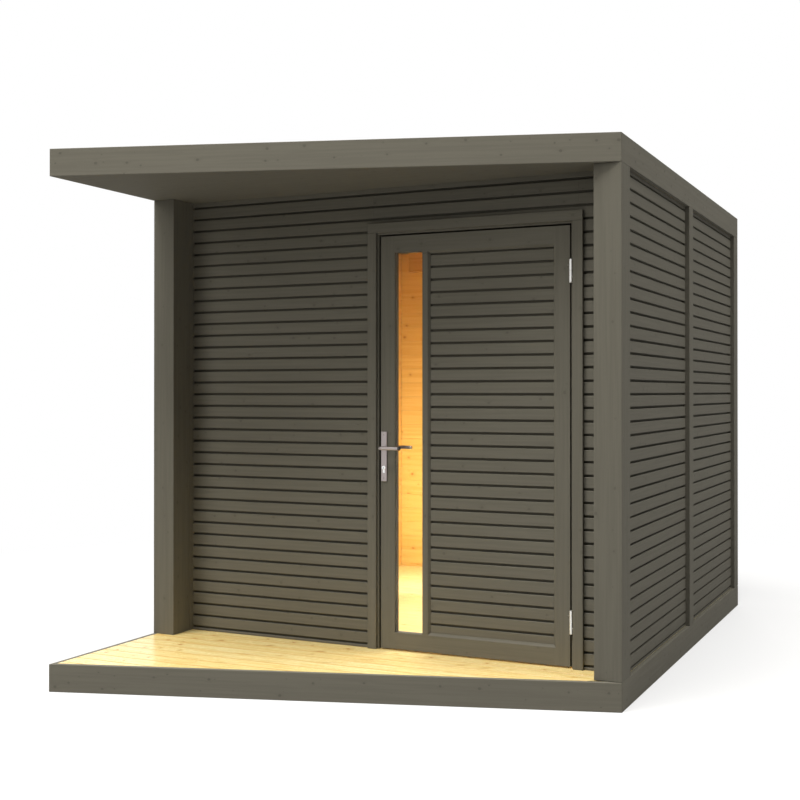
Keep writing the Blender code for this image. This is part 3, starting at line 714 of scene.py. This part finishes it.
for node in ("front_wall_left", "front_wall_right", "front_wall_over_door"):
    wall(node, BACK, RIGHT, 11)
low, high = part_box("right_wall_front")
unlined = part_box("front_wall_right")[1].y - low.y
on_side = {"pitch": SIDE_PITCH, "lowest": LOWEST_SIDE_GROOVE}
wall("right_wall_front", LEFT, BACK, 23, unlined=(unlined, 0.0), **on_side)
wall("right_wall_rear", LEFT, BACK, 24, **on_side)
wall("left_wall_front", RIGHT, FRONT, 31, unlined=(0.0, unlined), **on_side)
wall("left_wall_rear", RIGHT, FRONT, 32, **on_side)
# The walls' ends in front of the front wall have a stained board in place of the lining
stick("closing_board_right", low, (low.x + LINING, low.y + unlined, high.z), paint, ALONG_Z, tone=0.3)
low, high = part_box("left_wall_front")
stick("closing_board_left", (high.x - LINING, low.y, low.z), (high.x, low.y + unlined, high.z), paint,
      ALONG_Z, tone=0.6)
for i, node in enumerate(("rear_wall_left", "rear_wall_right")):
    wall(node, FRONT, LEFT, 41 + i)


# Door frame
# Rebated jambs and head of stained spruce with a flat casing in front, butted
# under the head piece. A rubber seal in the rebate meets the closed leaf.
for i, node in enumerate(("door_jamb_left", "door_jamb_right")):
    board_piece(node, paint, ALONG_Z, tone=0.3 + 0.3 * i, arris=0.0008)
board_piece("door_head", paint, ALONG_X, tone=0.4, arris=0.0)
for i, node in enumerate(("door_casing_left", "door_casing_right")):
    board_piece(node, paint, ALONG_Z, tone=0.15 + 0.4 * i, arris=0.0)
board_piece("door_casing_head", paint, ALONG_X, tone=0.35, arris=0.0)

SEAL, SEAL_THICKNESS, SEAL_ARRIS = 0.0070, 0.0052, 0.0012
SEAL_BEHIND_LEAF = 0.0059
SEAL_TOP, SEAL_FOOT = 0.0030, -0.0025     # the head seal's edges above the leaf's top


def dull_finish(name, colour, grains, detail, rough):
    """A plain dark material with fine grains in its gloss."""
    made, s, shader = new_material(name, {"Base Color": (*colour, 1.0)})
    s.give(s.steps(s.noise(s.place(), grains, detail), 0.3, 0.7, *rough), shader.inputs["Roughness"])
    return made


rubber = dull_finish("black_rubber", (0.012, 0.012, 0.012), 160.0, 2.0, (0.55, 0.75))
leaf_low, leaf_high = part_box("door_leaf")
stop_left, stop_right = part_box("door_jamb_left")[1].x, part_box("door_jamb_right")[0].x
seal_back, seal_top = leaf_high.y + SEAL_BEHIND_LEAF, leaf_high.z + SEAL_TOP
for name, left, right, foot, along in (
        ("left", stop_left - SEAL, stop_left, leaf_low.z, ALONG_Z),
        ("right", stop_right, stop_right + SEAL, leaf_low.z, ALONG_Z),
        ("head", stop_left, stop_right, leaf_high.z + SEAL_FOOT, ALONG_X)):
    stick("door_seal_" + name, (left, seal_back - SEAL_THICKNESS, foot), (right, seal_back, seal_top), rubber,
          along, arris=SEAL_ARRIS)


# Door leaf
# Stiles and rails of stained spruce, tenoned together, with a bar between the
# strip of glass and the slatted panel, whose boards continue the cladding's lines.
JOINT_ARRIS = 0.0013
REBATE = 0.0077           # how far the bead reaches behind the wood round the glass
PANEL_STEP, PANEL_BACKING = 0.0100, 0.0050
bead_low, bead_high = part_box("glazing_bead")
panel_low, panel_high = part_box("door_slat_panel")
glass_left, glass_right = bead_low.x + REBATE, bead_high.x - REBATE
field_low, field_high = panel_low.z, panel_high.z
members = (
    ((leaf_low.x, glass_left), (leaf_low.z, leaf_high.z), ALONG_Z, 0.30),
    ((panel_high.x, leaf_high.x), (leaf_low.z, leaf_high.z), ALONG_Z, 0.62),
    ((glass_left, panel_high.x), (field_high, leaf_high.z), ALONG_X, 0.45),
    ((glass_left, panel_high.x), (leaf_low.z, field_low), ALONG_X, 0.75),
    ((glass_right, panel_low.x), (field_low, field_high), ALONG_Z, 0.50),
)


def united(name, meshes):
    """Several closed shapes of one material in one mesh."""
    bm = bmesh.new()
    for mesh in meshes:
        bm.from_mesh(mesh)
        bpy.data.meshes.remove(mesh)
    return mesh_of(name, bm)


parts = []
for x, z, along, tone in members:
    parts.append(eased_copy("door_leaf", JOINT_ARRIS, 1, within=(x, z)))
    lay_grain(parts[-1], along, tone)
finished("door_leaf_wood", united("door_leaf_wood", parts), DOOR, paint, "door_leaf")
board_piece("glazing_bead", paint, ALONG_Z, DOOR, tone=0.6, arris=0.0)
wall("door_slat_panel", BACK, RIGHT, 11, DOOR, inside=paint, step=PANEL_STEP, lining=PANEL_BACKING,
     lining_pitch=CLAD_PITCH)


# Glass
# Clear float glass, set in the leaf's rebate from the room's side and held there
# by the bead.
glass, s, shader = new_material("clear_glass", {
    "Base Color": (0.99, 1.0, 0.99, 1.0), "Transmission Weight": 1.0, "IOR": 1.15})
s.give(s.steps(s.noise(s.place(), 9.0, 2.0), 0.4, 0.8, 0.0, 0.02), shader.inputs["Roughness"])
# Light passes, so that the room's lamps reach the deck
open_to_light = s.node("ShaderNodeMixShader", {
    "Fac": s.node("ShaderNodeLightPath").outputs["Is Shadow Ray"], 1: shader.outputs[0],
    2: s.node("ShaderNodeBsdfTransparent").outputs[0]})
s.show(open_to_light.outputs[0])
for mat_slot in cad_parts["door_glass"].material_slots:
    mat_slot.material = glass


# Hinges
# Lift-off hinges of plated steel: two barrels on one pin, each with a domed end
# and a stud, the upper screwed into the leaf, the lower into the frame.
DOME = 0.0036
EDGE = 0.0005
HALVES_APART = 0.0004
STUD, STUD_LENGTH, STUD_TIP = 0.0034, 0.0355, 0.0010
# A groove round the barrel and the dome: shares of DOME from the end, and of the radius
DOME_PROFILE = ((1.6, 1.0), (1.5, 0.94), (1.3, 0.94), (1.2, 1.0),
                (0.6, 1.0), (0.3, 0.93), (0.08, 0.74), (0.0, 0.0))
TURNED_SIDES = 40
SHARP_FROM = math.radians(35)


def steel(name, colour, rough, stretch):
    """Bare steel with fine marks, drawn out along z by the stretch."""
    made, s, shader = new_material(name, {"Base Color": (*colour, 1.0), "Metallic": 1.0})
    marks = s.noise(s.vector("MULTIPLY", s.place(), stretch), 1.0, 3.0)
    s.give(s.steps(marks, 0.25, 0.75, *rough), shader.inputs["Roughness"])
    s.bump(0.12, 0.0002, marks, shader)
    return made


def ring(bm, centre, u, v, radius, sides):
    """Points in a circle in the plane of two directions, or its centre alone."""
    turns = [2 * math.pi * k / sides for k in range(sides)] if radius else [0.0]
    return [bm.verts.new(centre + (u * math.cos(a) + v * math.sin(a)) * radius) for a in turns]


def round_mesh(bm, rings, sides):
    """The solid between rings of points, smooth round its sides and sharp where it turns."""
    for below, above in zip(rings, rings[1:]):
        for i in range(sides):
            j = (i + 1) % sides
            loop = [row[k % len(row)] for row, k in ((below, i), (below, j), (above, j), (above, i))]
            bm.faces.new(list(dict.fromkeys(loop)))
    for end in (rings[0], rings[-1]):
        if len(end) > 1:
            bm.faces.new(end)
    bmesh.ops.recalc_face_normals(bm, faces=bm.faces)
    for face in bm.faces:
        face.smooth = len(face.verts) <= 4
    for e in bm.edges:
        e.smooth = e.calc_face_angle(0.0) < SHARP_FROM
    return mesh_of("round", bm)


def turned_mesh(profile, foot, axis, sides=TURNED_SIDES):
    """A solid of revolution, from pairs of distance along the axis and radius, closed at both ends."""
    bm = bmesh.new()
    rings = [ring(bm, UP * along, RIGHT, BACK, radius, sides) for along, radius in profile]
    turn = Vector(axis).to_track_quat("Z", "Y").to_matrix().to_4x4()
    turn.translation = Vector(foot)
    bm.transform(turn)
    return round_mesh(bm, rings, sides)


plated = steel("plated_steel", (0.72, 0.71, 0.68), (0.26, 0.40), (220.0, 220.0, 90.0))
for label in ("upper", "lower"):
    below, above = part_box("hinge_%s_frame_half" % label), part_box("hinge_%s_leaf_half" % label)
    barrel = (below[1].y - below[0].y) / 2
    axis_x, axis_y, split = below[0].x + barrel, below[0].y + barrel, above[0].z
    for half, body, flat, domed, reach in (("leaf", DOOR, split, above[1].z, (-1, 1, 0)),
                                           ("frame", SHED, split - HALVES_APART, below[0].z, (1, 0, 0))):
        node = "hinge_%s_%s_half" % (label, half)
        length = abs(domed - flat)
        dome = [(length - DOME * from_end, barrel * share) for from_end, share in DOME_PROFILE]
        tube = turned_mesh([(0.0, 0.0), (0.0, barrel - EDGE), (EDGE, barrel)] + dome, (axis_x, axis_y, flat),
                           UP if domed > flat else DOWN)
        stud = turned_mesh([(0.0, 0.0), (0.0, STUD), (STUD_LENGTH - STUD_TIP, STUD),
                            (STUD_LENGTH, STUD * 0.6), (STUD_LENGTH, 0.0)],
                           (axis_x, axis_y, (flat + domed) / 2), reach)
        finished(node + "_steel", united(node + "_steel", (tube, stud)), body, plated, node)


# Handle
# A long plate on each face and a lever of brushed stainless steel with a black
# plug in its end, and the nickel-plated lock cylinder of the usual outline.
FACE_BACK = 0.0003        # the plate's face behind the screws and the cylinder's tail
SCREW_FROM_END = 0.015
SCREW, SCREW_SLOT = 0.0036, 0.0013
SMALL_SIDES = 24
BAR, SPINDLE = 0.0082, 0.0039
BAR_OFF_PLATE = 0.0006
GRIP_BEHIND_FACE = 0.0085
BEND, BEND_STEPS = 0.0105, 8
PLUG = 0.012
CYLINDER_EDGE = 0.0008
TAIL_WIDTH, TAIL_DROP, TAIL_DEPTH = 0.0100, 0.0245, 0.0040
KEY_WIDTH, KEY_DEPTH, KEY_HEIGHT, KEY_DROP = 0.0022, 0.0018, 0.0090, 0.0010
brushed_bar = steel("brushed_bar", (0.37, 0.33, 0.32), (0.44, 0.58), (40.0, 2600.0, 2600.0))
brushed = steel("brushed_steel", (0.385, 0.34, 0.33), (0.36, 0.52), (2600.0, 2600.0, 40.0))
nickel = steel("nickel_plate", (0.88, 0.88, 0.87), (0.22, 0.34), (180.0, 180.0, 180.0))
# Black plastic for the outside lever's plug; the same black is painted shade on the screw heads' cross and in
# the keyway
plug_and_slot_shade = dull_finish("black_plastic_and_slot_shade", (0.010, 0.009, 0.009), 900.0, 1.0, (0.35, 0.5))


def swept_bar(path, radius, sides=TURNED_SIDES):
    """A round bar along a path in a level plane, closed at both ends."""
    bm = bmesh.new()
    rings = []
    for i, point in enumerate(path):
        way = (path[min(i + 1, len(path) - 1)] - path[max(i - 1, 0)]).normalized()
        rings.append(ring(bm, point, way.cross(UP), UP, radius, sides))
    return round_mesh(bm, rings, sides)


cylinder_low, cylinder_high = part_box("lock_cylinder")
cylinder_x, cylinder_z = (cylinder_low.x + cylinder_high.x) / 2, (cylinder_low.z + cylinder_high.z) / 2
cylinder_radius, cylinder_depth = (cylinder_high.x - cylinder_low.x) / 2, cylinder_high.y - cylinder_low.y
face_radius = cylinder_radius - CYLINDER_EDGE
cylinder = turned_mesh([(0.0, 0.0), (0.0, face_radius), (CYLINDER_EDGE, cylinder_radius),
                        (cylinder_depth - CYLINDER_EDGE, cylinder_radius), (cylinder_depth, face_radius),
                        (cylinder_depth, 0.0)], (cylinder_x, cylinder_low.y, cylinder_z), BACK)
finished("lock_cylinder_round", cylinder, DOOR, nickel, "lock_cylinder")
for side, out in (("outside", FRONT), ("inside", BACK)):
    node = "handle_plate_" + side
    low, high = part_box(node)
    face = low.y if out.y < 0 else high.y
    mesh = eased_copy(node, 0.0)
    for v in mesh.vertices:
        v.co.y = max(v.co.y, face + FACE_BACK) if out.y < 0 else min(v.co.y, face - FACE_BACK)
    finished(node + "_steel", mesh, DOOR, brushed, node)
    middle_x = (low.x + high.x) / 2
    seat = face - out.y * FACE_BACK * 1.5
    screws, slot_shades = [], []
    for z in (low.z + SCREW_FROM_END, high.z - SCREW_FROM_END):
        screws.append(turned_mesh([(0.0, 0.0), (0.0, SCREW), (FACE_BACK * 0.9, SCREW * 0.86),
                                   (FACE_BACK * 1.4, SCREW * 0.4), (FACE_BACK * 1.4, 0.0)],
                                  (middle_x, seat, z), out, SMALL_SIDES))
        # A black cross of thin bars standing on each screw head: painted shade where a real head has recessed
        # cuts
        for wide, tall in ((SCREW_SLOT, SCREW * 1.3), (SCREW * 1.3, SCREW_SLOT)):
            slot_shades.append(box_mesh("slot", (middle_x, face - out.y * FACE_BACK * 0.5, z),
                                  (wide, FACE_BACK * 0.96, tall)))
    finished("plate_screws_" + side, united("plate_screws_" + side, screws), DOOR, brushed_bar)
    tail_in = face - out.y * TAIL_DEPTH
    stick("cylinder_tail_" + side, (cylinder_x - TAIL_WIDTH / 2, min(face, tail_in), cylinder_z - TAIL_DROP),
          (cylinder_x + TAIL_WIDTH / 2, max(face, tail_in), cylinder_z), nickel, ALONG_Z, DOOR)
    end = cylinder_low.y if out.y < 0 else cylinder_high.y
    # A black patch set flush into the cylinder's end: painted shade for the keyway's recess
    slot_shades.append(box_mesh("key", (cylinder_x, end - out.y * KEY_DEPTH / 2, cylinder_z - KEY_DROP),
                          (KEY_WIDTH, KEY_DEPTH, KEY_HEIGHT)))
    finished("slots_" + side, united("slots_" + side, slot_shades), DOOR, plug_and_slot_shade)

    # The lever: a bar bent once, with a plug in its end and the spindle on the outer one
    node = "lever_" + side
    low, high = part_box(node)
    axis_x, axis_z = cylinder_x, (low.z + high.z) / 2
    grip_y = (low.y if out.y < 0 else high.y) - out.y * GRIP_BEHIND_FACE
    start_y = face + out.y * BAR_OFF_PLATE
    bend = Vector((axis_x + BEND, grip_y - out.y * BEND, axis_z))
    path = [Vector((axis_x, start_y, axis_z)), Vector((axis_x, grip_y - out.y * BEND * 1.3, axis_z))]
    for k in range(BEND_STEPS + 1):
        a = math.pi / 2 * k / BEND_STEPS
        path.append(bend + Vector((-math.cos(a), out.y * math.sin(a), 0.0)) * BEND)
    path += [Vector((axis_x + BEND * 1.3, grip_y, axis_z)), Vector((high.x - PLUG, grip_y, axis_z))]
    parts = [swept_bar(path, BAR)]
    if side == "outside":
        length = high.y - start_y
        parts.append(turned_mesh([(0.0, 0.0), (0.0, SPINDLE), (length, SPINDLE), (length, 0.0)],
                                 (axis_x, start_y, axis_z), BACK, SMALL_SIDES))
    finished(node + "_steel", united(node + "_steel", parts), LEVER, brushed_bar, node)
    plug = turned_mesh([(0.0, 0.0), (0.0, BAR - 0.0006), (0.0007, BAR), (PLUG - 0.002, BAR),
                        (PLUG - 0.0006, BAR * 0.85), (PLUG, BAR * 0.5), (PLUG, 0.0)],
                       (high.x - PLUG, grip_y, axis_z), RIGHT)
    finished("lever_plug_" + side, plug, LEVER, plug_and_slot_shade if side == "outside" else nickel)


# Roof edge and soffit
# Stained fascia boards mitred round the roof, and a smooth stained soffit panel
# flush with their lower edges.
for i, (side, along) in enumerate(RING.items()):
    board_piece("fascia_" + side, edge_paint_with_painted_light, along, tone=0.62 - 0.17 * i)
board_piece("soffit", paint, ALONG_X, tone=0.2, arris=0.0)


# Rafters, bearer and roof boards
# Planed spruce left bare, seen from the room. The boards are nailed on the rafters,
# which rest on the walls and on the bearer at the rear.
ROOF_PITCH = 0.120
ROOF_JOINT = 0.0016
ROOF_ARRIS = 0.0012
rafter_wood = bare_finish("rafter_spruce", (0.72, 0.44, 0.13), (0.60, 0.33, 0.08), (0.34, 0.14, 0.03), 0.65)
board_piece("roof_frame", rafter_wood, ALONG_Y, arris=0.0)
board_piece("rear_bearer", rafter_wood, ALONG_X)
floor_boards("roof_boards_laid", "roof_boards", SKEWED, rafter_wood, ROOF_PITCH, ROOF_JOINT, ROOF_ARRIS,
             ROOF_PITCH / 2, 61, Skew=SKEW)


# Roof sheet
# Mineral-faced roofing felt, torched on in strips across the roof with lapped
# seams, inside the fascia boards.
FELT_STRIP = 0.90
FELT_LAP = 0.0014
felt, s, shader = new_material("roofing_felt", {"Roughness": 0.85})
chips = s.node("ShaderNodeTexVoronoi", {"Vector": s.place(), "Scale": 420.0}).outputs
chipped = s.colours(s.split(chips["Color"])[0], (0.035, 0.036, 0.038), (0.085, 0.087, 0.09))
worn = s.steps(s.noise(s.place(), 1.7, 4.0), 0.35, 0.75, 0.0, 0.5)
s.give(s.colours(worn, chipped, (0.10, 0.10, 0.095)), shader.inputs["Base Color"])
s.bump(0.6, 0.001, chips["Distance"], shader)

low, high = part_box("roof_sheet")
knee = low.y + (high.x - low.x) * SKEW      # where the slanting edge meets the right side
starts = [low.y + FELT_STRIP * i for i in range(math.ceil((high.y - low.y) / FELT_STRIP))]
bm = bmesh.new()
for start, end in zip(starts, starts[1:] + [high.y]):
    # Each strip rises a little towards its rear edge, which laps over the next one
    foot, rise = high.z - FELT_LAP, FELT_LAP if end < high.y else 0.0
    outline = [(low.x, start, foot)]
    for y in (start, knee, end) if start < knee < end else (start, end):
        right = min(high.x, low.x + (y - low.y) / SKEW)
        outline.append((right, y, foot + rise * (y - start) / (end - start)))
    outline = list(dict.fromkeys(outline + [(low.x, end, foot + rise)]))
    over = [bm.verts.new(p) for p in outline]
    under = [bm.verts.new((p[0], p[1], low.z)) for p in outline]
    bm.faces.new(over)
    bm.faces.new(under[::-1])
    for i in range(len(outline)):
        j = (i + 1) % len(outline)
        bm.faces.new((over[i], under[i], under[j], over[j]))
bmesh.ops.recalc_face_normals(bm, faces=bm.faces)
finished("roof_felt", mesh_of("roof_felt", bm), SHED, felt, "roof_sheet")
